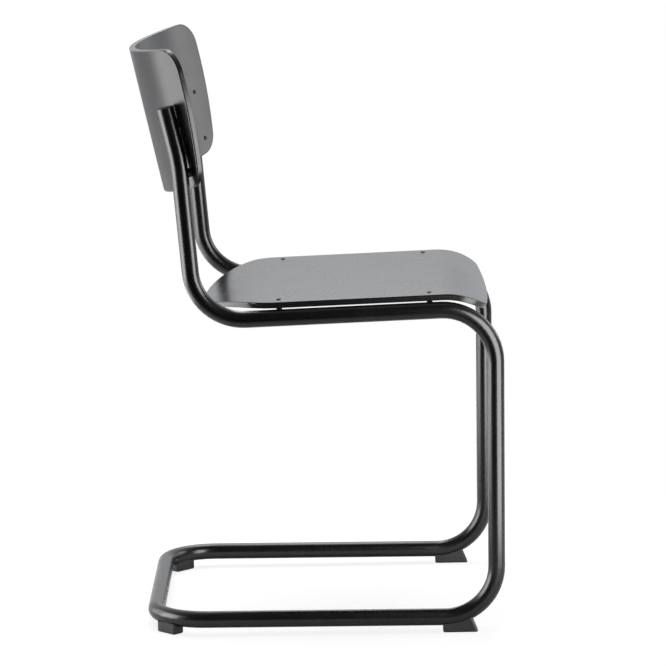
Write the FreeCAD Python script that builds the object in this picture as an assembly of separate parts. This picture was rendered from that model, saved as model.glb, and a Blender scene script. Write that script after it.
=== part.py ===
import FreeCAD, Part
import math
import os

from FreeCAD import Placement, Rotation, Vector

# Cantilever chair: one bent steel tube carries a moulded ply seat and a moulded ply back.
# Millimetres. The chair faces -Y, +X is the sitter's left, +Z is up, and the floor is Z = 0.
# Every piece is drawn with the front legs at Y = 0, and the finished chair is then centred.

# Steel tube, bent to one radius everywhere but at the slight kink behind the back
TUBE_OD = 24.0
TUBE_WALL = 2.5
BEND_RADIUS = 74.0
KINK_RADIUS = 248.0

# The tube's centre line: base, seat rails and uprights. Leans are given from square to the base.
FRAME_WIDTH = 460.0
BASE_LENGTH = 487.4
RAIL_HEIGHT = 464.8
RAIL_FALL_DEG = 2.12
RAIL_LENGTH = 421.3
LOWER_LEAN_DEG = 4.87
LOWER_RISE = 228.2
UPPER_LEAN_DEG = 13.3
UPPER_RISE = 75.4

# Moulded ply
PLY = 8.8
PLY_ROUND = 1.6

# Seat shell: distances back from the front legs, along the rails
SEAT_OVERHANG = 3.5
SEAT_FRONT = 4.4
SEAT_LENGTH = 410.9
SEAT_GAP = 2.0
FRONT_ROLL_START = 72.6
FRONT_ROLL_RADIUS = 102.0
REAR_ROLL_START = 332.6
REAR_ROLL_RADIUS = 188.0
SEAT_FRONT_CORNER = 40.0
SEAT_FRONT_ARC = 2400.0
SEAT_REAR_CORNER = 50.0
SEAT_REAR_ARC = 350.0

# Back shell: heights run up its own lean from the middle of the lower edge
BACK_LEAN_DEG = 12.7
BACK_HEIGHT = 211.3
BACK_WING_REACH = 36.9
BACK_WIDEST_AT = 156.0
BACK_SIDE_ARC = 525.0
BACK_LOWER_ARC = 1500.0
BACK_TOP_CORNER = 35.0
BACK_LOWER_CORNER = 36.0
BACK_BELOW_KINK = 56.05
BACK_DEPTH = 44.8
BACK_GAP = 0.8

# Machine screws, nuts and their holes
SCREW_D = 4.0
SCREW_HEAD_D = 6.4
SCREW_HEAD_HEIGHT = 1.5
SCREW_HEAD_ROUND = 1.0
SOCKET_FLATS = 2.5
SOCKET_DEPTH = 0.9
SCREW_TAIL = 1.5
NUT_FLATS = 7.0
NUT_HEIGHT = 3.2
HOLE_CLEARANCE = 0.2
THREAD_CLEARANCE = 0.05

# Seat fixings: welded tabs inside the rails, with a bush between each tab and the seat
SEAT_SCREW_INSET = 21.0
SEAT_SCREW_FRONT = 91.6
SEAT_SCREW_REAR = 303.6
TAB_WIDTH = 18.0
TAB_THICKNESS = 3.0
TAB_TOP = 6.0
BUSH_D = 8.5

# Back fixings: saddle spacers behind the ply, threaded inserts in the tube
BACK_SCREW_LOW = 36.0
BACK_SCREW_HIGH = 107.2
SPACER_D = 13.0
INSERT_D = 7.0
INSERT_DEPTH = 9.0
INSERT_FLANGE_D = 10.0
INSERT_FLANGE = 0.6
INSERT_CLEARANCE = 0.1

# End caps in the open tops of the tube
CAP_THICKNESS = 2.0
CAP_ROUND = 1.2
CAP_PLUG_LENGTH = 14.0
CAP_PLUG_WALL = 2.0
CAP_CLEARANCE = 0.1

# Glides under the base, and the gap left under everything that is shaped to the tube.
# The rear soles are the thicker ones, so the base rises a little towards the rear.
FRONT_SOLE = 8.6
REAR_SOLE = 11.2
GRIP = 4.5
SADDLE_CLEARANCE = 0.1
GLIDE_ROUND = 2.5
GLIDE_CHAMFER = 1.5
FRONT_GLIDE_WIDTH = 20.0
FRONT_GLIDE_TOE = 26.9
FRONT_GLIDE_LENGTH = 49.9
FRONT_GLIDE_RAKE = 8.7
FRONT_GLIDE_HEIGHT = 21.1
REAR_GLIDE_LENGTH = 35.5
REAR_GLIDE_WIDTH = 19.0

# Glide screws, driven up through the soles into the tube
GLIDE_SCREW_D = 4.0
GLIDE_SCREW_LENGTH = 12.0
GLIDE_HEAD_D = 7.0
GLIDE_HEAD_HEIGHT = 2.0
GLIDE_HEAD_RECESS = 1.5
FRONT_GLIDE_SCREW = 62.0

# Worked out from the sizes above
TUBE_R = TUBE_OD / 2
BORE_R = TUBE_R - TUBE_WALL
SIDE_X = (FRAME_WIDTH - TUBE_OD) / 2
SEAT_WIDTH = 2 * (SIDE_X + SEAT_OVERHANG)
SEAT_UNDERSIDE = TUBE_R + SEAT_GAP
SEAT_TOP = SEAT_UNDERSIDE + PLY
SHANK_R = SCREW_D / 2
HOLE_R = SHANK_R + HOLE_CLEARANCE
THREAD_R = SHANK_R + THREAD_CLEARANCE
UP = Vector(0, 0, 1)
ACROSS = Vector(1, 0, 0)


def direction(degrees):
    """The direction of a line that leans this far back from upright, seen from the side."""
    lean = math.radians(degrees)
    return Vector(0, math.sin(lean), math.cos(lean))


def right_side(y, z):
    """A point on the right side's centre line, given as seen from the side."""
    return Vector(-SIDE_X, y, z)


# The base's rise from the front glides to the rear ones, which stand under its rear corner bends
REAR_GLIDE_PLACE = BASE_LENGTH - BEND_RADIUS * (1 - math.cos(math.pi / 4))
BASE_SLOPE = (REAR_SOLE - FRONT_SOLE) / (REAR_GLIDE_PLACE - FRONT_GLIDE_SCREW)
BASE_RISE_DEG = math.degrees(math.atan(BASE_SLOPE))


def leaning(degrees):
    """The direction of a line that leans this far back from square to the base."""
    return direction(degrees - BASE_RISE_DEG)


# The corners of the tube's centre line on the right side
RUNNER_FRONT = right_side(0, FRONT_SOLE + TUBE_R - BASE_SLOPE * FRONT_GLIDE_SCREW)
RUNNER_BACK = RUNNER_FRONT + leaning(90) * BASE_LENGTH
RAIL_FRONT = RUNNER_FRONT + leaning(0) * (RAIL_HEIGHT - RUNNER_FRONT.z)
RAIL_BACK = RAIL_FRONT + leaning(90 + RAIL_FALL_DEG) * RAIL_LENGTH
KINK = RAIL_BACK + leaning(LOWER_LEAN_DEG) * LOWER_RISE
TUBE_TOP = KINK + leaning(UPPER_LEAN_DEG) * UPPER_RISE

# The seat's rolled ends, as the angle that each one turns through down to its tip
FRONT_TURN = math.asin((FRONT_ROLL_START - SEAT_FRONT) / FRONT_ROLL_RADIUS)
REAR_TURN = math.asin((SEAT_FRONT + SEAT_LENGTH - REAR_ROLL_START) / REAR_ROLL_RADIUS)

# The back is part of a cylinder whose axis stands in front of it and leans with it
BACK_UP = leaning(BACK_LEAN_DEG)
BACK_REAR = leaning(90 + BACK_LEAN_DEG)
STANDOFF = TUBE_R + BACK_GAP
BACK_R = (SIDE_X ** 2 + BACK_DEPTH ** 2 - STANDOFF ** 2) / (2 * (BACK_DEPTH + STANDOFF))
BACK_FOOT = Vector(0, KINK.y, KINK.z) + BACK_REAR * BACK_DEPTH - BACK_UP * BACK_BELOW_KINK
BACK_CENTRE = BACK_FOOT - BACK_REAR * BACK_R
BACK_HALF_GIRTH = BACK_R * math.atan2(SIDE_X, BACK_R - BACK_DEPTH) + BACK_WING_REACH


def mirrored(shape):
    """The same shape on the chair's other side."""
    return shape.mirror(Vector(0, 0, 0), ACROSS)


def post(radius, low, high):
    """An upright cylinder on the Z axis between two heights."""
    return Part.makeCylinder(radius, high - low, Vector(0, 0, low))


def hexagon(flats, low, high):
    """An upright six-sided bar on the Z axis between two heights."""
    corner = flats / 2 / math.cos(math.pi / 6)
    angles = [math.pi / 3 * side for side in range(7)]
    corners = [Vector(corner * math.cos(angle), corner * math.sin(angle), low) for angle in angles]
    return Part.Face(Part.makePolygon(corners)).extrude(UP * (high - low))


def stood_on(shape, point, direction):
    """A shape drawn on the Z axis, set down at a point with its axis along a direction."""
    placed = shape.copy()
    placed.Placement = Placement(point, Rotation(UP, direction)).multiply(shape.Placement)
    return placed


def on_rails(shape, x):
    """A shape drawn as X, distance back and height above the rails' centre line, set on the rails."""
    placed = shape.copy()
    foot = Vector(x, RAIL_FRONT.y, RAIL_FRONT.z)
    rails = Placement(foot, Rotation(ACROSS, BASE_RISE_DEG - RAIL_FALL_DEG))
    placed.Placement = rails.multiply(shape.Placement)
    return placed


def edges_through(shape, points):
    """The edges of a shape that pass through the given points."""
    near = 0.01
    vertices = [Part.Vertex(point) for point in points]
    return [edge for edge in shape.Edges if any(edge.distToShape(spot)[0] < near for spot in vertices)]


def rim_edges(shell, broad_area):
    """The edges where a thin shell's broad faces meet its narrow ones."""
    broad = [face for face in shell.Faces if face.Area > broad_area]
    narrow = [edge for face in shell.Faces if face.Area <= broad_area for edge in face.Edges]
    return [edge for face in broad for edge in face.Edges if any(edge.isSame(other) for other in narrow)]


# Tube frame

def bent_bar(corners, radii, radius):
    """A round bar with straight runs between the corners and a bend at each inner one."""
    pieces = []
    start = corners[0]
    for index, bend in enumerate(radii):
        corner = corners[index + 1]
        incoming = (corner - corners[index]).normalize()
        outgoing = (corners[index + 2] - corner).normalize()
        turn = incoming.getAngle(outgoing)
        reach = bend * math.tan(turn / 2)
        enter = corner - incoming * reach
        axis = incoming.cross(outgoing).normalize()
        centre = enter + axis.cross(incoming) * bend
        section = Part.Face(Part.Wire([Part.Circle(enter, incoming, radius).toShape()]))
        pieces.append(Part.makeCylinder(radius, (enter - start).Length, start, incoming))
        pieces.append(section.revolve(centre, axis, math.degrees(turn)))
        start = corner + outgoing * reach
    run = corners[-1] - start
    pieces.append(Part.makeCylinder(radius, run.Length, start, run))
    return pieces[0].multiFuse(pieces[1:]).removeSplitter()


def frame_bar(radius):
    """The whole frame as a solid round bar, from the top of the right upright to the left one."""
    right = [TUBE_TOP, KINK, RAIL_BACK, RAIL_FRONT, RUNNER_FRONT, RUNNER_BACK]
    left = [Vector(-corner.x, corner.y, corner.z) for corner in reversed(right)]
    bends = [KINK_RADIUS] + [BEND_RADIUS] * 4
    return bent_bar(right + left, bends + bends[::-1], radius)


SADDLE_BAR = frame_bar(TUBE_R + SADDLE_CLEARANCE)


def tube_frame():
    """One continuous steel tube, drilled for the back's inserts and the glide screws."""
    tube = frame_bar(TUBE_R).cut(frame_bar(BORE_R))
    insert_drill = post(INSERT_D / 2 + INSERT_CLEARANCE, 0, STANDOFF)
    glide_drill = post(GLIDE_SCREW_D / 2 + THREAD_CLEARANCE, 0, REAR_SOLE + TUBE_R)
    drills = [back_fixing(insert_drill, height) for height in BACK_SCREWS.values()]
    drills += [stood_on(glide_drill, place, UP) for place in (front_glide_screw(), rear_glide_middle())]
    return tube.cut(drills + [mirrored(drill) for drill in drills])


def end_cap():
    """Plastic cap with a hollow plug, pressed into the open top of the right upright."""
    cap = post(TUBE_R, 0, CAP_THICKNESS)
    rim = [edge for edge in cap.Edges if edge.CenterOfMass.z > CAP_THICKNESS / 2 and edge.Closed]
    cap = cap.makeFillet(CAP_ROUND, [edge for edge in rim if edge.Vertexes[0].Z > CAP_THICKNESS / 2])
    plug_r = BORE_R - CAP_CLEARANCE
    plug = post(plug_r, -CAP_PLUG_LENGTH, 0).cut(post(plug_r - CAP_PLUG_WALL, -CAP_PLUG_LENGTH, 0))
    return stood_on(cap.fuse(plug).removeSplitter(), TUBE_TOP, leaning(UPPER_LEAN_DEG))


# Seat shell, drawn as X, distance back and height above the rails' centre line

def roll_point(start, sign, radius, turn, depth):
    """A point of a rolled end, this far round the roll and this deep below the upper face."""
    reach = (radius - depth) * math.sin(turn)
    drop = (radius - depth) * math.cos(turn)
    return Vector(-SEAT_WIDTH, start + sign * reach, SEAT_TOP - radius + drop)


def roll_arc(start, sign, radius, turn, depth):
    """The arc of a rolled end, between its tip and where the flat begins."""
    points = [roll_point(start, sign, radius, turn * share, depth) for share in (1.0, 0.5, 0.0)]
    return Part.Arc(*points)


def seat_sheet():
    """The seat's ply, flat with both ends rolled down, before its outline is cut."""
    front = (FRONT_ROLL_START, -1, FRONT_ROLL_RADIUS, FRONT_TURN + PLY / FRONT_ROLL_RADIUS)
    rear = (REAR_ROLL_START, 1, REAR_ROLL_RADIUS, REAR_TURN + PLY / REAR_ROLL_RADIUS)
    lines = []
    for depth in (0, PLY):
        flat_ends = [roll_point(*roll[:3], 0, depth) for roll in (front, rear)]
        lines += [roll_arc(*front, depth), Part.LineSegment(*flat_ends), roll_arc(*rear, depth)]
    for roll in (front, rear):
        lines.append(Part.LineSegment(roll_point(*roll, 0), roll_point(*roll, PLY)))
    profile = Part.Wire(Part.__sortEdges__([line.toShape() for line in lines]))
    return Part.Face(profile).extrude(ACROSS * (2 * SEAT_WIDTH))


def seat_outline(tip, square, inward, rounding, bow):
    """A deep prism with one end of the seat's outline, cut square to the ply at that end.

    The end bulges outwards as an arc of radius bow."""
    half = SEAT_WIDTH / 2
    inset = bow - math.sqrt(bow ** 2 - half ** 2)
    foot = Vector(0, tip.y, tip.z) - square * SEAT_LENGTH
    near = [foot + ACROSS * (side * half) + inward * inset for side in (-1, 1)]
    far = [corner + inward * (2 * SEAT_LENGTH) for corner in near]
    lines = [
        Part.Arc(near[0], foot, near[1]),
        Part.LineSegment(near[1], far[1]),
        Part.LineSegment(far[1], far[0]),
        Part.LineSegment(far[0], near[0]),
    ]
    outline = Part.Wire([line.toShape() for line in lines])
    prism = Part.Face(outline).extrude(square * (2 * SEAT_LENGTH))
    return prism.makeFillet(rounding, edges_through(prism, [corner + square * SEAT_LENGTH for corner in near]))


def seat_shell():
    """Moulded ply seat with rolled ends, rounded edges and four screw holes."""
    front_tip = roll_point(FRONT_ROLL_START, -1, FRONT_ROLL_RADIUS, FRONT_TURN, 0)
    front_square = direction(-math.degrees(FRONT_TURN))
    front_inward = front_square.cross(ACROSS)
    front = seat_outline(front_tip, front_square, front_inward, SEAT_FRONT_CORNER, SEAT_FRONT_ARC)
    rear_tip = roll_point(REAR_ROLL_START, 1, REAR_ROLL_RADIUS, REAR_TURN, 0)
    rear_square = direction(math.degrees(REAR_TURN))
    rear_inward = ACROSS.cross(rear_square)
    rear = seat_outline(rear_tip, rear_square, rear_inward, SEAT_REAR_CORNER, SEAT_REAR_ARC)
    seat = seat_sheet().common(front).common(rear)
    seat = seat.makeFillet(PLY_ROUND, rim_edges(seat, PLY * (SEAT_LENGTH + SEAT_WIDTH)))
    seat = on_rails(seat, 0)
    holes = [seat_fixing(post(HOLE_R, TUBE_R, SEAT_TOP + PLY), back) for back in SEAT_SCREWS.values()]
    return seat.cut(holes + [mirrored(hole) for hole in holes])


# Seat fixings on the right rail, drawn on the screw's own axis, upwards from the rail's centre line

SEAT_SCREWS = {"front": SEAT_SCREW_FRONT, "rear": SEAT_SCREW_REAR}


def seat_fixing(shape, back):
    """A fixing drawn on the Z axis, set on the right rail at a distance back."""
    moved = shape.copy()
    moved.translate(Vector(SEAT_SCREW_INSET, back, 0))
    return on_rails(moved, -SIDE_X)


def seat_tab(back):
    """Steel tab with a round end, welded to the inside of the rail."""
    low = TAB_TOP - TAB_THICKNESS
    corner = Vector(-SEAT_SCREW_INSET, -TAB_WIDTH / 2, low)
    tab = Part.makeBox(SEAT_SCREW_INSET, TAB_WIDTH, TAB_THICKNESS, corner)
    tab = tab.fuse(post(TAB_WIDTH / 2, low, TAB_TOP)).removeSplitter()
    return seat_fixing(tab.cut(post(HOLE_R, low, TAB_TOP)), back).cut(SADDLE_BAR)


def seat_bush(back):
    """Plastic bush that holds the seat just clear of the rail."""
    bush = post(BUSH_D / 2, TAB_TOP, SEAT_UNDERSIDE).cut(post(HOLE_R, TAB_TOP, SEAT_UNDERSIDE))
    return seat_fixing(bush, back)


def machine_screw(length):
    """Socket screw with a low domed head, drawn with the head's underside at Z = 0."""
    head = post(SCREW_HEAD_D / 2, 0, SCREW_HEAD_HEIGHT)
    rim = edges_through(head, [Vector(0, SCREW_HEAD_D / 2, SCREW_HEAD_HEIGHT)])
    head = head.makeFillet(SCREW_HEAD_ROUND, rim)
    socket = hexagon(SOCKET_FLATS, SCREW_HEAD_HEIGHT - SOCKET_DEPTH, SCREW_HEAD_HEIGHT)
    return head.fuse(post(SHANK_R, -length, 0)).removeSplitter().cut(socket)


def seat_screw(back):
    """Screw down through the seat, its bush and its tab into the nut."""
    screw = machine_screw(SEAT_TOP - TAB_TOP + TAB_THICKNESS + NUT_HEIGHT + SCREW_TAIL)
    screw.translate(UP * SEAT_TOP)
    return seat_fixing(screw, back)


def seat_nut(back):
    """Hexagon nut under the tab."""
    high = TAB_TOP - TAB_THICKNESS
    low = high - NUT_HEIGHT
    return seat_fixing(hexagon(NUT_FLATS, low, high).cut(post(THREAD_R, low, high)), back)


# Back shell

def round_body(inset):
    """A solid cylinder about the back's axis, out to the ply's outer face less an inset.

    It starts a little below the ply's lower edge, which is cut later, and its seam faces
    the front, away from the ply."""
    below = BACK_CENTRE - BACK_UP * PLY
    body = Part.makeCylinder(BACK_R - inset, PLY + BACK_HEIGHT, below, BACK_UP)
    body.rotate(below, BACK_UP, 180)
    return body


def away_from_axis(angle):
    """The direction square to the ply at an angle from the middle of the back, on the right side."""
    return BACK_REAR * math.cos(angle) - ACROSS * math.sin(angle)


def side_cutter():
    """A round bar, square to the ply at the right side, that leaves that side's curved outline."""
    angle = BACK_HALF_GIRTH / BACK_R
    sideways = away_from_axis(angle + math.pi / 2)
    base = BACK_CENTRE + BACK_UP * BACK_WIDEST_AT - sideways * BACK_SIDE_ARC
    return Part.makeCylinder(BACK_SIDE_ARC, 2 * BACK_R, base, away_from_axis(angle))


def back_corners(shell, side):
    """The short edges through the ply at the upper corners, or at the lower ones where side is -1."""
    middle = BACK_CENTRE + BACK_UP * (BACK_HEIGHT / 2)
    short = [edge for edge in shell.Edges if edge.Length < 2 * PLY]
    return [edge for edge in short if (edge.CenterOfMass - middle).dot(BACK_UP) * side > 0]


def back_shell():
    """Moulded ply back with bowed sides and lower edge, rounded edges and four screw holes."""
    lower_centre = BACK_CENTRE + BACK_UP * BACK_LOWER_ARC
    lower = Part.makeCylinder(BACK_LOWER_ARC, 2 * BACK_R, lower_centre, BACK_REAR)
    lower.rotate(lower_centre, BACK_REAR, 180)
    right = side_cutter()
    shell = round_body(0).cut(round_body(PLY)).common(lower).common(right).common(mirrored(right))
    shell = shell.makeFillet(BACK_TOP_CORNER, back_corners(shell, 1))
    shell = shell.makeFillet(BACK_LOWER_CORNER, back_corners(shell, -1))
    shell = shell.makeFillet(PLY_ROUND, rim_edges(shell, PLY * (BACK_HEIGHT + 2 * BACK_HALF_GIRTH)))
    holes = [back_fixing(post(HOLE_R, STANDOFF / 2, BACK_R / 2), height) for height in BACK_SCREWS.values()]
    return shell.cut(holes + [mirrored(hole) for hole in holes])


# Back fixings on the right upright, drawn on the screw's own axis from the tube's centre to the ply

BACK_SCREWS = {"lower": BACK_SCREW_LOW, "upper": BACK_SCREW_HIGH}


def upright_point(height):
    """The point of the right upright's centre line at a height up the back."""
    lean = leaning(LOWER_LEAN_DEG if height < BACK_BELOW_KINK else UPPER_LEAN_DEG)
    return KINK + lean * ((height - BACK_BELOW_KINK) / lean.dot(BACK_UP))


def to_back_axis(height):
    """The straight way from the tube's centre to the back's axis at a height up the back."""
    return BACK_CENTRE + BACK_UP * height - upright_point(height)


def back_fixing(shape, height):
    """A fixing drawn on the Z axis from the tube's centre, set on the upright square to the ply."""
    return stood_on(shape, upright_point(height), to_back_axis(height))


def back_insert(height):
    """Threaded insert with a flange, pressed through the tube's wall."""
    barrel = post(INSERT_D / 2, TUBE_R - INSERT_DEPTH, TUBE_R + INSERT_FLANGE)
    flange = post(INSERT_FLANGE_D / 2, 0, TUBE_R + INSERT_FLANGE)
    flange = back_fixing(flange, height).cut(SADDLE_BAR)
    insert = flange.fuse(back_fixing(barrel, height)).removeSplitter()
    return insert.cut(back_fixing(post(THREAD_R, 0, STANDOFF), height))


def back_spacer(height):
    """Plastic saddle spacer between the tube and the ply, hollowed for the insert's flange."""
    reach = to_back_axis(height).Length - BACK_R
    flange_pocket = post(INSERT_FLANGE_D / 2 + INSERT_CLEARANCE, 0, TUBE_R + INSERT_FLANGE)
    spacer = post(SPACER_D / 2, 0, reach + PLY / 2).cut([flange_pocket, post(HOLE_R, 0, reach + PLY)])
    return back_fixing(spacer, height).cut([SADDLE_BAR, round_body(0)])


def back_screw(height):
    """Screw from the front of the back shell, through the spacer, into the insert."""
    inner_r = BACK_R - PLY
    rim_lift = inner_r - math.sqrt(inner_r ** 2 - (SCREW_HEAD_D / 2) ** 2)
    front = to_back_axis(height).Length - inner_r + rim_lift
    screw = machine_screw(front - TUBE_R + INSERT_DEPTH)
    screw.translate(UP * front)
    return back_fixing(screw, height)


# Glides on the right runner

def finished_glide(block, middle):
    """A glide block with eased edges, shaped to the tube, and bored for its screw."""
    upright = [edge for edge in block.Edges if edge.BoundBox.ZLength > GRIP]
    block = block.makeFillet(GLIDE_ROUND, upright)
    sole = [edge for edge in block.Edges if edge.BoundBox.ZMax < SADDLE_CLEARANCE]
    block = block.makeChamfer(GLIDE_CHAMFER, sole)
    recess = post(GLIDE_HEAD_D / 2 + HOLE_CLEARANCE, 0, GLIDE_HEAD_RECESS + GLIDE_HEAD_HEIGHT)
    bore = post(GLIDE_SCREW_D / 2 + HOLE_CLEARANCE, 0, REAR_SOLE + TUBE_R)
    return block.cut([SADDLE_BAR, stood_on(recess, middle, UP), stood_on(bore, middle, UP)])


def front_glide_screw():
    """Where the front glide's screw stands on the floor plan."""
    return right_side(FRONT_GLIDE_SCREW, 0)


def front_glide():
    """Plastic glide that cradles the runner and the start of its front bend."""
    toe = FRONT_GLIDE_TOE
    heel = toe + FRONT_GLIDE_LENGTH
    left = FRONT_GLIDE_WIDTH / 2 - SIDE_X
    corners = [
        Vector(left, heel, 0),
        Vector(left, toe, 0),
        Vector(left, toe + FRONT_GLIDE_RAKE, FRONT_GLIDE_HEIGHT),
        Vector(left, heel, FRONT_GLIDE_HEIGHT),
        Vector(left, heel, 0),
    ]
    block = Part.Face(Part.makePolygon(corners)).extrude(ACROSS * -FRONT_GLIDE_WIDTH)
    lip = TUBE_R - GRIP
    bend_axis = Vector(left, BEND_RADIUS, RUNNER_FRONT.z + BEND_RADIUS)
    above_bend = Part.makeCylinder(BEND_RADIUS + lip, FRONT_GLIDE_WIDTH, bend_axis, ACROSS * -1)
    corner = Vector(left - FRONT_GLIDE_WIDTH, BEND_RADIUS, RUNNER_FRONT.z - lip)
    above_runner = Part.makeBox(FRONT_GLIDE_WIDTH, FRONT_GLIDE_LENGTH, BEND_RADIUS, corner)
    return finished_glide(block, front_glide_screw()).cut([above_bend, above_runner])


def rear_glide_middle():
    """The point on the floor under the middle of the base's rear corner bend."""
    sideways = BEND_RADIUS * (1 - math.cos(math.pi / 4))
    return Vector(sideways - SIDE_X, REAR_GLIDE_PLACE, 0)


def rear_glide():
    """Plastic glide across the base's rear corner bend, turned with the bend."""
    corner = Vector(-REAR_GLIDE_LENGTH / 2, -REAR_GLIDE_WIDTH / 2, 0)
    block = Part.makeBox(REAR_GLIDE_LENGTH, REAR_GLIDE_WIDTH, REAR_SOLE + GRIP, corner)
    block.Placement = Placement(rear_glide_middle(), Rotation(UP, 45))
    return finished_glide(block, rear_glide_middle())


def glide_screw(middle):
    """Round-headed screw up through the sole into the tube."""
    shoulder = GLIDE_HEAD_RECESS + GLIDE_HEAD_HEIGHT
    head = post(GLIDE_HEAD_D / 2, GLIDE_HEAD_RECESS, shoulder)
    screw = head.fuse(post(GLIDE_SCREW_D / 2, shoulder, shoulder + GLIDE_SCREW_LENGTH)).removeSplitter()
    socket = hexagon(SOCKET_FLATS, GLIDE_HEAD_RECESS, GLIDE_HEAD_RECESS + SOCKET_DEPTH)
    return stood_on(screw.cut(socket), middle, UP)


# The whole chair, centred front to back

right_pieces = {
    "end_cap": end_cap(),
    "glide_front": front_glide(),
    "glide_rear": rear_glide(),
    "glide_screw_front": glide_screw(front_glide_screw()),
    "glide_screw_rear": glide_screw(rear_glide_middle()),
}
for place, back in SEAT_SCREWS.items():
    right_pieces["seat_tab_" + place] = seat_tab(back)
    right_pieces["seat_bush_" + place] = seat_bush(back)
    right_pieces["seat_screw_" + place] = seat_screw(back)
    right_pieces["seat_nut_" + place] = seat_nut(back)
for place, height in BACK_SCREWS.items():
    right_pieces["back_insert_" + place] = back_insert(height)
    right_pieces["back_spacer_" + place] = back_spacer(height)
    right_pieces["back_screw_" + place] = back_screw(height)

pieces = {"tube_frame": tube_frame(), "seat_shell": seat_shell(), "back_shell": back_shell()}
for name, shape in right_pieces.items():
    pieces[name + "_right"] = shape
    pieces[name + "_left"] = mirrored(shape)

box = Part.makeCompound(list(pieces.values())).optimalBoundingBox()
centring = Vector(0, -(box.YMin + box.YMax) / 2, 0)
os.makedirs("parts", exist_ok=True)
for name, shape in pieces.items():
    shape.translate(centring)
    shape.exportStep("parts/" + name + ".step")
print(len(pieces), "pieces,", box.XLength, "wide,", box.YLength, "deep,", box.ZLength, "high")
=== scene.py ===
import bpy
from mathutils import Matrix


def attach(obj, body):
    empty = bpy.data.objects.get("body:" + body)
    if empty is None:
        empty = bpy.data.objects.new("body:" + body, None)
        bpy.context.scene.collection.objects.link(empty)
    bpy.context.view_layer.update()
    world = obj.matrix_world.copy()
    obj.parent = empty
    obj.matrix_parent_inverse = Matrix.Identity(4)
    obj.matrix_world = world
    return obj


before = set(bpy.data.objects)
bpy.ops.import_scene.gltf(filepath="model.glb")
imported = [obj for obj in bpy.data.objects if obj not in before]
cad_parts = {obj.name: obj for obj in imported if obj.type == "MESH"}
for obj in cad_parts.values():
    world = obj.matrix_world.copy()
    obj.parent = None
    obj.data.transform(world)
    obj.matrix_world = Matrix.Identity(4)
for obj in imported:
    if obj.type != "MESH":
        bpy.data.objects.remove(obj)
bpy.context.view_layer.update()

import math

import bpy
from mathutils import Matrix, Vector

scene = bpy.context.scene
scene.view_settings.view_transform = "Standard"

# Camera
# It stands at the sitter's right, higher than the back, and looks across the chair with a long lens,
# a little down and rolled by about a degree.
FRAME_PIXELS = 666
FOCAL_PIXELS = 3654.708
CAMERA_PLACE = Vector((-5.27751, -0.04675, 1.27539))
LOOK_DOWN = 0.165064
LOOK_SIDE = 0.004573
ROLL = 0.018719

camera_data = bpy.data.cameras.new("camera")
camera_data.sensor_width = 36.0
camera_data.lens = camera_data.sensor_width * FOCAL_PIXELS / FRAME_PIXELS
camera_data.clip_start = 0.1
camera_data.clip_end = 60.0
camera = bpy.data.objects.new("camera", camera_data)
scene.collection.objects.link(camera)
scene.camera = camera
level = Matrix(((0, 0, -1), (-1, 0, 0), (0, 1, 0))).to_4x4()
aimed = Matrix.Rotation(LOOK_SIDE, 4, "Z") @ Matrix.Rotation(LOOK_DOWN, 4, "Y")
camera.matrix_world = Matrix.Translation(CAMERA_PLACE) @ aimed @ Matrix.Rotation(ROLL, 4, "X") @ level

# Studio room
# A white sheet on the floor, a white wall behind the chair and a dark room behind the camera. The
# camera sees white all round, and on the floor only the chair's soft shadow.
FLOOR_SIZE = 12.0

# The sheet's colour is white under the chair and behind it, and fades to black on the camera's side:
# painted shade in place of the lamps' fall-off, seen in reflections and bounced light only.
SHEET_WHITE = 0.85
SHEET_SHADE_START = -0.25
SHEET_SHADE_FULL = -1.15

# The camera sees this share of the real shadow, and less and less of it away from the chair. The
# open floor is set brighter than white so that the lamps leave no grey on it.
SHADOW_SHARE = 0.17
SHADOW_CLEAR = 0.45
SHADOW_END = 1.0
OPEN_FLOOR = 1.3

# What the walls show in a mirror, from the dark side to the white side, and how much they light.
ROOM_DARK = 0.04
ROOM_WHITE = 0.95
DARK_SIDE = -0.35
WHITE_SIDE = 0.75
ROOM_AMBIENT = 0.45
WALL_TINT = (0.95, 0.965, 1.0, 1)


def add_node(tree, kind, **values):
    """A shader node with its settings and unlinked inputs given by name."""
    made = tree.nodes.new(kind)
    for name, value in values.items():
        if hasattr(made, name):
            setattr(made, name, value)
        else:
            made.inputs[name.replace("_", " ")].default_value = value
    return made


def feed(tree, value, socket):
    """A socket set to a number or linked to another socket."""
    if isinstance(value, bpy.types.NodeSocket):
        tree.links.new(value, socket)
    else:
        socket.default_value = value


def calculate(tree, operation, *values):
    """The result of a math node on sockets or numbers."""
    made = add_node(tree, "ShaderNodeMath", operation=operation)
    for value, socket in zip(values, made.inputs):
        feed(tree, value, socket)
    return made.outputs["Value"]


def eased(tree, value, low, high, to_low=0.0, to_high=1.0):
    """A value brought smoothly from one range into another, and held at its ends."""
    made = add_node(tree, "ShaderNodeMapRange", interpolation_type="SMOOTHSTEP")
    feed(tree, value, made.inputs["Value"])
    feed(tree, low, made.inputs["From Min"])
    feed(tree, high, made.inputs["From Max"])
    feed(tree, to_low, made.inputs["To Min"])
    feed(tree, to_high, made.inputs["To Max"])
    return made.outputs["Result"]


def blended(tree, share, first, second, kind="RGBA"):
    """Two colours or numbers mixed by a share."""
    made = add_node(tree, "ShaderNodeMix", data_type=kind)
    sockets = [socket for socket in made.inputs if socket.enabled]
    for value, socket in zip((share, first, second), sockets):
        feed(tree, value, socket)
    return [socket for socket in made.outputs if socket.enabled][0]


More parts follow.
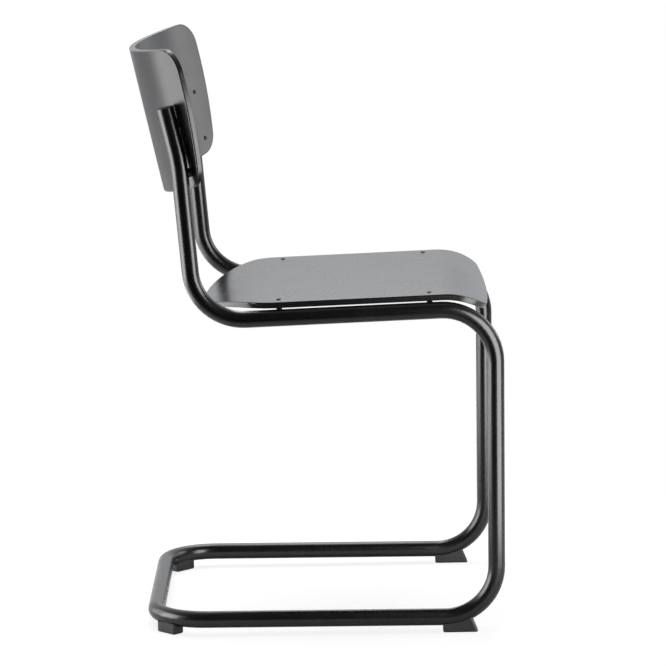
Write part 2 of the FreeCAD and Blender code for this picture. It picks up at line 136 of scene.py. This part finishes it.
bpy.ops.object.select_all(action="DESELECT")
bpy.ops.mesh.primitive_plane_add(size=FLOOR_SIZE)
floor = bpy.context.object
floor.name = "floor"
floor_material = bpy.data.materials.new("white floor sheet with painted shade")
floor.data.materials.append(floor_material)
floor_material.use_nodes = True
tree = floor_material.node_tree
tree.nodes.clear()
coordinates = add_node(tree, "ShaderNodeTexCoord").outputs["Object"]
across = add_node(tree, "ShaderNodeSeparateXYZ")
tree.links.new(coordinates, across.inputs["Vector"])
reach = add_node(tree, "ShaderNodeVectorMath", operation="LENGTH")
tree.links.new(coordinates, reach.inputs[0])
# Painted shade: the sheet's colour darkens from white to black toward the camera, in place of the light
# falling off there.
sheet_painted_shade = eased(tree, across.outputs["X"], SHEET_SHADE_FULL, SHEET_SHADE_START, to_high=SHEET_WHITE)
painted_shade_colour = add_node(tree, "ShaderNodeCombineColor")
for channel in painted_shade_colour.inputs:
    tree.links.new(sheet_painted_shade, channel)
floor_with_painted_shade = add_node(tree, "ShaderNodeBsdfDiffuse")
tree.links.new(painted_shade_colour.outputs["Color"], floor_with_painted_shade.inputs["Color"])
white = add_node(tree, "ShaderNodeEmission")
shaded = add_node(tree, "ShaderNodeBsdfDiffuse", Color=(OPEN_FLOOR, OPEN_FLOOR, OPEN_FLOOR, 1))
seen = add_node(tree, "ShaderNodeMixShader")
shadow = eased(tree, reach.outputs["Value"], SHADOW_CLEAR, SHADOW_END, to_low=SHADOW_SHARE, to_high=0.0)
tree.links.new(shadow, seen.inputs["Fac"])
tree.links.new(white.outputs["Emission"], seen.inputs[1])
tree.links.new(shaded.outputs["BSDF"], seen.inputs[2])
floor_look = add_node(tree, "ShaderNodeMixShader")
tree.links.new(add_node(tree, "ShaderNodeLightPath").outputs["Is Camera Ray"], floor_look.inputs["Fac"])
tree.links.new(floor_with_painted_shade.outputs["BSDF"], floor_look.inputs[1])
tree.links.new(seen.outputs["Shader"], floor_look.inputs[2])
floor_output = add_node(tree, "ShaderNodeOutputMaterial")
tree.links.new(floor_look.outputs["Shader"], floor_output.inputs["Surface"])

world = bpy.data.worlds.new("studio room")
scene.world = world
world.use_nodes = True
tree = world.node_tree
background = tree.nodes["Background"]
coordinates = add_node(tree, "ShaderNodeTexCoord").outputs["Generated"]
direction = add_node(tree, "ShaderNodeSeparateXYZ")
tree.links.new(coordinates, direction.inputs["Vector"])
ray = add_node(tree, "ShaderNodeLightPath").outputs
mirrored = eased(tree, direction.outputs["X"], DARK_SIDE, WHITE_SIDE, ROOM_DARK, ROOM_WHITE)
lit = blended(tree, ray["Is Glossy Ray"], ROOM_AMBIENT, mirrored, "FLOAT")
tree.links.new(blended(tree, ray["Is Camera Ray"], lit, 1.0, "FLOAT"), background.inputs["Strength"])
tint = blended(tree, ray["Is Camera Ray"], WALL_TINT, (1, 1, 1, 1))
tree.links.new(tint, background.inputs["Color"])

# Studio lamps
# A broad soft lamp hangs over the chair and a smaller one behind it. Four white cards stand round the
# chair and a fifth lies on the floor: they show as soft streaks in the lacquer and light nothing else.


def soft_lamp(name, place, aim, width, height, brightness):
    """A flat lamp that faces a point, as bright as this in a mirror."""
    lamp_data = bpy.data.lights.new(name, "AREA")
    lamp_data.shape = "RECTANGLE"
    lamp_data.size = width
    lamp_data.size_y = height
    lamp_data.energy = brightness * math.pi * width * height
    lamp = bpy.data.objects.new(name, lamp_data)
    scene.collection.objects.link(lamp)
    lamp.location = place
    lamp.rotation_euler = (Vector(aim) - Vector(place)).to_track_quat("-Z", "Y").to_euler()
    lamp.visible_camera = False
    return lamp


soft_lamp("lamp overhead", (0.4, 0, 2.2), (0.4, 0, 0), 2.2, 2.2, 3.2).visible_glossy = False
soft_lamp("lamp behind the seat", (1.35, 0, 1.9), (0.4, 0, 0.3), 0.55, 1.6, 4.6)
for name, place, aim, width, height, brightness in (
    ("card beside the legs", (-0.55, -0.55, 0.42), (0, -0.05, 0.42), 0.48, 0.8, 9.8),
    ("card before the seat", (0.91, -1.61, 1.05), (0.2, 0.1, 0.75), 0.9, 0.75, 2.6),
    ("card behind the back", (-0.45, 1.6, 0.6), (-0.45, 0.2, 0.6), 1.1, 1.2, 8.0),
    ("wide card behind", (0.5, 1.6, 0.6), (0.5, 0.2, 0.6), 1.15, 1.2, 2.4),
    ("card on the floor", (0.25, 1.3, 0.02), (0.25, 1.3, 1.0), 1.5, 1.2, 2.5),
):
    soft_lamp(name, place, aim, width, height, brightness).visible_diffuse = False

# Tube frame
# One continuous steel tube, bent cold, its bends as smooth as its straights. It is lacquered black,
# semi-gloss, with the faint orange peel of sprayed and baked lacquer.
LACQUER = (0.0035, 0.0035, 0.0037, 1)
LACQUER_WORN = (0.006, 0.006, 0.0062, 1)
PEEL_RISE = 0.000004


def new_group(name, takes, gives):
    """An empty node group with number and vector sockets, and its input and output nodes."""
    group = bpy.data.node_groups.new(name, "ShaderNodeTree")
    for title in takes:
        kind = "NodeSocketVector" if title == "Coordinates" else "NodeSocketFloat"
        group.interface.new_socket(title, in_out="INPUT", socket_type=kind)
    for title in gives:
        group.interface.new_socket(title, in_out="OUTPUT", socket_type="NodeSocketFloat")
    return group, group.nodes.new("NodeGroupInput").outputs, group.nodes.new("NodeGroupOutput").inputs


def placed_group(tree, group, coordinates, **values):
    """A node group placed in a material, as its outputs."""
    made = tree.nodes.new("ShaderNodeGroup")
    made.node_tree = group
    tree.links.new(coordinates, made.inputs["Coordinates"])
    for name, value in values.items():
        feed(tree, value, made.inputs[name])
    return made.outputs


def noise(tree, coordinates, scale, detail, roughness=0.5):
    """A noise texture's value."""
    made = add_node(tree, "ShaderNodeTexNoise", Detail=detail, Roughness=roughness)
    tree.links.new(coordinates, made.inputs["Vector"])
    feed(tree, scale, made.inputs["Scale"])
    return made.outputs["Fac"]


# The skin of a sprayed, moulded or plated surface: fine dimples, and polish that varies from place to
# place. Cells counts the dimples in a metre, and CLOUDS counts the patches of polish.
CLOUDS = 17.0
CLOUD_RANGE = (0.35, 0.7)
DIMPLE_SHARE = 0.12
POLISH_RANGE = (0.32, 0.68)

takes = ("Coordinates", "Cells", "Smooth", "Rough")
skin, given, result = new_group("surface skin", takes, ("Roughness", "Height", "Cloud"))
dimples = noise(skin, given["Coordinates"], given["Cells"], detail=2.0)
cloud = noise(skin, given["Coordinates"], CLOUDS, detail=5.0, roughness=0.6)
mottled = blended(skin, DIMPLE_SHARE, cloud, dimples, "FLOAT")
polish = eased(skin, mottled, *POLISH_RANGE, given["Smooth"], given["Rough"])
skin.links.new(polish, result["Roughness"])
skin.links.new(dimples, result["Height"])
skin.links.new(eased(skin, cloud, *CLOUD_RANGE), result["Cloud"])


def new_surface(name):
    """A material with its tree, its shader's inputs and its object coordinates."""
    material = bpy.data.materials.new(name)
    material.use_nodes = True
    tree = material.node_tree
    coordinates = tree.nodes.new("ShaderNodeTexCoord").outputs["Object"]
    return material, tree, tree.nodes["Principled BSDF"].inputs, coordinates


def bumped(tree, height, rise, under=None):
    """A normal that rises and falls with a height, on top of another one."""
    made = add_node(tree, "ShaderNodeBump", Distance=rise)
    tree.links.new(height, made.inputs["Height"])
    if under is not None:
        tree.links.new(under, made.inputs["Normal"])
    return made.outputs["Normal"]


def coat(material, *names):
    """The material put on the CAD pieces whose names start so."""
    for node_name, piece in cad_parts.items():
        if node_name.startswith(names):
            for slot in piece.material_slots:
                slot.material = material


lacquer, tree, surface, coordinates = new_surface("black lacquer on steel")
peel = placed_group(tree, skin, coordinates, Cells=300.0, Smooth=0.255, Rough=0.28)
tree.links.new(blended(tree, peel["Cloud"], LACQUER, LACQUER_WORN), surface["Base Color"])
tree.links.new(peel["Roughness"], surface["Roughness"])
tree.links.new(bumped(tree, peel["Height"], PEEL_RISE), surface["Normal"])
surface["IOR"].default_value = 1.52
coat(lacquer, "tube_frame", "seat_tab")

# Weld beads
# Each of the four tabs is welded to its rail along the top and along the bottom, by hand: a short row
# of overlapping puddles. They were lacquered with the frame.
PUDDLE_SIZE = (0.0019, 0.0014, 0.0016)
PUDDLE_STEP = 0.0018
PUDDLE_SWAY = (0.0, 0.00012, -0.00008, 0.0001, -0.00012, 0.00005, -0.0001, 0.00008, 0.0)
PUDDLE_LEAN = math.radians(24)
WELD_GRAIN = 0.00022

# The rails' centre lines: how far out they lie, where their straights start and how they slope.
RAIL_SIDE = 0.218
RAIL_FRONT = (-0.25206, 0.46479)
RAIL_TILT = math.radians(-1.751)

# How far each tab's middle lies behind the front of its rail, and for each bead how far inward and
# how high it lies from the centre line, and how many degrees it is turned into its corner.
TAB_PLACES = (("front", 0.0916), ("rear", 0.3036))
WELD_CORNERS = (("upper", 0.0110, 0.0060, 28.7), ("lower", 0.0122, 0.0027, -38.0))

bpy.ops.object.select_all(action="DESELECT")
for number, sway in enumerate(PUDDLE_SWAY):
    along = (number - (len(PUDDLE_SWAY) - 1) / 2) * PUDDLE_STEP
    bpy.ops.mesh.primitive_uv_sphere_add(segments=24, ring_count=16, radius=1.0)
    bpy.ops.object.mode_set(mode="EDIT")
    bpy.ops.transform.resize(value=PUDDLE_SIZE)
    bpy.ops.transform.rotate(value=PUDDLE_LEAN, orient_axis="Z", center_override=(0, 0, 0))
    bpy.ops.transform.translate(value=(sway, along, 0))
    bpy.ops.mesh.select_all(action="DESELECT")
bpy.ops.object.mode_set(mode="OBJECT")
first_weld = bpy.context.object
remesh = first_weld.modifiers.new("one skin", "REMESH")
remesh.mode = "VOXEL"
remesh.voxel_size = WELD_GRAIN
soften = first_weld.modifiers.new("soft ripples", "SMOOTH")
soften.factor = 0.5
soften.iterations = 3
for step in ("one skin", "soft ripples"):
    bpy.ops.object.modifier_apply(modifier=step)
bpy.ops.object.shade_smooth()
first_weld.data.materials.append(lacquer)
for side, inward in (("right", 1), ("left", -1)):
    for end, back in TAB_PLACES:
        for corner, reach, height, turn in WELD_CORNERS:
            bpy.ops.object.select_all(action="DESELECT")
            first_weld.select_set(True)
            bpy.context.view_layer.objects.active = first_weld
            bpy.ops.object.duplicate(linked=False)
            weld = bpy.context.object
            weld.name = "tab_weld_" + corner + "_" + end + "_" + side
            rail = Matrix.Translation((-inward * RAIL_SIDE, *RAIL_FRONT))
            rail = rail @ Matrix.Rotation(RAIL_TILT, 4, "X")
            turned = Matrix.Rotation(-inward * math.radians(turn), 4, "Y")
            weld.matrix_world = rail @ Matrix.Translation((inward * reach, back, height)) @ turned
            bpy.context.view_layer.update()
            bpy.ops.object.transform_apply(location=True, rotation=True, scale=True)
            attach(weld, "root")
bpy.data.objects.remove(first_weld)

# Seat and back ply
# Both shells are beech veneers pressed to shape over a mould, seven to a shell, with the grain turned
# from one veneer to the next. They are stained black and sprayed with satin lacquer, edges and all.
PLY = 0.0088
VENEER = PLY / 7
STAIN = (0.0075, 0.0075, 0.008, 1)
STAIN_PALE = (0.0098, 0.0096, 0.0096, 1)
PORE = (0.003, 0.003, 0.003, 1)
EDGE_STAIN = (0.016, 0.0155, 0.015, 1)
EDGE_ROUGHER = 0.05
SPRAY_RISE = 0.000005
PORE_DEPTH = 0.000004
GLUE_DEPTH = 0.00003

# Wood grain, with the veneer's grain along Y: long open pores, and bands of slower growth.
PORES_IN_METRE = (1900.0, 95.0, 300.0)
PORE_RANGE = (0.52, 0.74)
BAND_STRETCH = (1.0, 0.13, 1.0)

grain, given, result = new_group("wood grain", ("Coordinates",), ("Pores", "Figure"))
stretched = add_node(grain, "ShaderNodeVectorMath", operation="MULTIPLY")
stretched.inputs[1].default_value = PORES_IN_METRE
grain.links.new(given["Coordinates"], stretched.inputs[0])
flecks = noise(grain, stretched.outputs["Vector"], scale=1.0, detail=1.0)
grain.links.new(eased(grain, flecks, *PORE_RANGE), result["Pores"])
broad = add_node(grain, "ShaderNodeVectorMath", operation="MULTIPLY")
broad.inputs[1].default_value = BAND_STRETCH
grain.links.new(given["Coordinates"], broad.inputs[0])
bands = add_node(grain, "ShaderNodeTexWave", Scale=21.0, Distortion=11.0, Detail=4.0, Detail_Scale=1.7)
grain.links.new(broad.outputs["Vector"], bands.inputs["Vector"])
grain.links.new(bands.outputs["Fac"], result["Figure"])

# Ply edges, from the depth below one face of the shell: where the edge is, which veneers show their
# end grain, and the fine glue lines between them. The last two ranges are of the sine of the depth,
# which goes through zero at each glue line.
EDGE_RANGE = (0.00045, 0.0011)
WAVES = 90.0
WAVE_DEPTH = 0.0002
END_RANGE = (-0.25, 0.25)
GLUE_RANGE = (0.0, 0.35)

layers, given, result = new_group("ply layers", ("Coordinates", "Depth"), ("Edge", "End", "Glue"))
other_way = calculate(layers, "SUBTRACT", PLY, given["Depth"])
inside = calculate(layers, "MINIMUM", given["Depth"], other_way)
layers.links.new(eased(layers, inside, *EDGE_RANGE), result["Edge"])
waves = noise(layers, given["Coordinates"], WAVES, detail=2.0)
wavy = calculate(layers, "MULTIPLY", waves, WAVE_DEPTH)
veneer = calculate(layers, "DIVIDE", calculate(layers, "ADD", given["Depth"], wavy), VENEER)
swing = calculate(layers, "SINE", calculate(layers, "MULTIPLY", veneer, math.pi))
layers.links.new(eased(layers, swing, *END_RANGE), result["End"])
near_line = calculate(layers, "ABSOLUTE", swing)
layers.links.new(eased(layers, near_line, *GLUE_RANGE, to_low=1.0, to_high=0.0), result["Glue"])


def ply_look(name, shell_place, smooth, rough):
    """Stained and lacquered ply, for a shell whose place in its own veneers a function works out."""
    material, tree, surface, coordinates = new_surface(name)
    place, depth = shell_place(tree, coordinates)
    wood = placed_group(tree, grain, place)
    side = placed_group(tree, layers, coordinates, Depth=depth)
    spray = placed_group(tree, skin, coordinates, Cells=380.0, Smooth=smooth, Rough=rough)
    figure = calculate(tree, "MULTIPLY", wood["Figure"], spray["Cloud"])
    stained = blended(tree, figure, STAIN, STAIN_PALE)
    stained = blended(tree, wood["Pores"], stained, PORE)
    end_share = calculate(tree, "MULTIPLY", side["Edge"], side["End"])
    stained = blended(tree, end_share, stained, EDGE_STAIN)
    tree.links.new(stained, surface["Base Color"])
    rougher = calculate(tree, "MULTIPLY_ADD", end_share, EDGE_ROUGHER, spray["Roughness"])
    tree.links.new(rougher, surface["Roughness"])
    normal = bumped(tree, spray["Height"], SPRAY_RISE)
    pits = calculate(tree, "SUBTRACT", 1.0, wood["Pores"])
    normal = bumped(tree, pits, PORE_DEPTH, normal)
    glue = calculate(tree, "MULTIPLY", side["Edge"], side["Glue"])
    normal = bumped(tree, calculate(tree, "SUBTRACT", 1.0, glue), GLUE_DEPTH, normal)
    tree.links.new(normal, surface["Normal"])
    surface["IOR"].default_value = 1.5
    return material


# Seat shell
# Flat between the rails, with its front and rear ends rolled down. It rests on four bushes, just
# clear of the tube, and its grain runs from front to back.
SEAT_TOP = 0.0228

# Where each roll starts, behind the front of the rails, its radius, and which way it goes.
SEAT_FRONT_ROLL = (0.0726, 0.102, "MINIMUM")
SEAT_REAR_ROLL = (0.3326, 0.188, "MAXIMUM")


def in_shell_frame(tree, coordinates, origin, tilt):
    """Coordinates turned into a tilted shell's own frame, as three numbers."""
    turned = add_node(tree, "ShaderNodeMapping", vector_type="TEXTURE")
    turned.inputs["Location"].default_value = origin
    turned.inputs["Rotation"].default_value = (tilt, 0, 0)
    tree.links.new(coordinates, turned.inputs["Vector"])
    apart = tree.nodes.new("ShaderNodeSeparateXYZ")
    tree.links.new(turned.outputs["Vector"], apart.inputs["Vector"])
    return apart.outputs


def joined(tree, x, y, z):
    """Three numbers as one vector."""
    made = tree.nodes.new("ShaderNodeCombineXYZ")
    for value, socket in zip((x, y, z), made.inputs):
        feed(tree, value, socket)
    return made.outputs["Vector"]


def distance(tree, x, y):
    """The length of the hypotenuse over two numbers."""
    made = add_node(tree, "ShaderNodeVectorMath", operation="LENGTH")
    tree.links.new(joined(tree, x, y, 0.0), made.inputs[0])
    return made.outputs["Value"]


def seat_place(tree, coordinates):
    """Across the grain, along it, and the depth below the seat's upper face."""
    own = in_shell_frame(tree, coordinates, (0, *RAIL_FRONT), RAIL_TILT)
    depth = calculate(tree, "SUBTRACT", own["Z"], SEAT_TOP)
    for start, radius, bound in (SEAT_FRONT_ROLL, SEAT_REAR_ROLL):
        past = calculate(tree, bound, calculate(tree, "SUBTRACT", own["Y"], start), 0.0)
        rise = calculate(tree, "ADD", own["Z"], radius - SEAT_TOP)
        rolled = calculate(tree, "SUBTRACT", radius, distance(tree, past, rise))
        depth = calculate(tree, "ADD", depth, rolled)
    return joined(tree, own["X"], own["Y"], depth), depth


coat(ply_look("black ply of the seat", seat_place, smooth=0.25, rough=0.28), "seat_shell")

# Back shell
# Part of an upright cylinder that leans back with the sitter, screwed to the front of the uprights.
# Its grain runs up the back.
BACK_ORIGIN = (0, -0.1999, 0.7066)
BACK_TILT = math.radians(-12.331)
BACK_RADIUS = 0.42853


def back_place(tree, coordinates):
    """Across the grain, along it, and the depth below the back's outer face."""
    own = in_shell_frame(tree, coordinates, BACK_ORIGIN, BACK_TILT)
    depth = calculate(tree, "SUBTRACT", BACK_RADIUS, distance(tree, own["X"], own["Y"]))
    girth = calculate(tree, "MULTIPLY", calculate(tree, "ARCTAN2", own["X"], own["Y"]), BACK_RADIUS)
    return joined(tree, girth, own["Z"], depth), depth


coat(ply_look("black ply of the back", back_place, smooth=0.235, rough=0.275), "back_shell")

# Screws
# Socket screws with low domed heads, hardened and plated with black zinc: four hold the seat, four
# the back, and four hold the glides.
BLACK_ZINC = (0.035, 0.035, 0.04, 1)
BLACK_ZINC_RUBBED = (0.09, 0.09, 0.095, 1)
BLACK_ZINC_RISE = 0.000015

black_zinc, tree, surface, coordinates = new_surface("black zinc")
plating = placed_group(tree, skin, coordinates, Cells=2400.0, Smooth=0.22, Rough=0.34)
tree.links.new(blended(tree, plating["Cloud"], BLACK_ZINC, BLACK_ZINC_RUBBED), surface["Base Color"])
tree.links.new(plating["Roughness"], surface["Roughness"])
tree.links.new(bumped(tree, plating["Height"], BLACK_ZINC_RISE), surface["Normal"])
surface["Metallic"].default_value = 0.85
coat(black_zinc, "seat_screw", "back_screw", "glide_screw")

# Nuts and inserts
# Bright zinc-plated steel: the nuts under the seat's tabs, and the flanged inserts that are pressed
# through the uprights' walls.
ZINC = (0.5, 0.51, 0.53, 1)
ZINC_DULL = (0.36, 0.37, 0.38, 1)
ZINC_RISE = 0.00002

bright_zinc, tree, surface, coordinates = new_surface("bright zinc")
plating = placed_group(tree, skin, coordinates, Cells=1800.0, Smooth=0.28, Rough=0.48)
tree.links.new(blended(tree, plating["Cloud"], ZINC, ZINC_DULL), surface["Base Color"])
tree.links.new(plating["Roughness"], surface["Roughness"])
tree.links.new(bumped(tree, plating["Height"], ZINC_RISE), surface["Normal"])
surface["Metallic"].default_value = 1.0
coat(bright_zinc, "seat_nut", "back_insert")

# Glides, end caps, bushes and spacers
# Black nylon, moulded with a fine matt grain. The glides' soles are scuffed grey by the floor.
NYLON = (0.012, 0.012, 0.0125, 1)
NYLON_PALE = (0.019, 0.019, 0.0195, 1)
NYLON_RISE = 0.00005

# The scuffs: their colour and roughness, how many there are in a metre, how much of the sole they
# cover, and the heights between which they fade out.
NYLON_SCUFFED = (0.075, 0.073, 0.07, 1)
SCUFF_ROUGHNESS = 0.7
SCUFFS = 420.0
SCUFF_RANGE = (0.42, 0.6)
SOLE_RANGE = (0.0002, 0.0012)

nylon, tree, surface, coordinates = new_surface("black moulded nylon")
moulded = placed_group(tree, skin, coordinates, Cells=1500.0, Smooth=0.4, Rough=0.52)
height = tree.nodes.new("ShaderNodeSeparateXYZ")
tree.links.new(coordinates, height.inputs["Vector"])
low = eased(tree, height.outputs["Z"], *SOLE_RANGE, to_low=1.0, to_high=0.0)
scuffs = noise(tree, coordinates, SCUFFS, detail=4.0, roughness=0.65)
scuffs = eased(tree, scuffs, *SCUFF_RANGE)
scuffed = calculate(tree, "MULTIPLY", low, scuffs)
plain = blended(tree, moulded["Cloud"], NYLON, NYLON_PALE)
tree.links.new(blended(tree, scuffed, plain, NYLON_SCUFFED), surface["Base Color"])
rougher = blended(tree, scuffed, moulded["Roughness"], SCUFF_ROUGHNESS, "FLOAT")
tree.links.new(rougher, surface["Roughness"])
tree.links.new(bumped(tree, moulded["Height"], NYLON_RISE), surface["Normal"])
coat(nylon, "glide_front", "glide_rear", "end_cap", "seat_bush", "back_spacer")
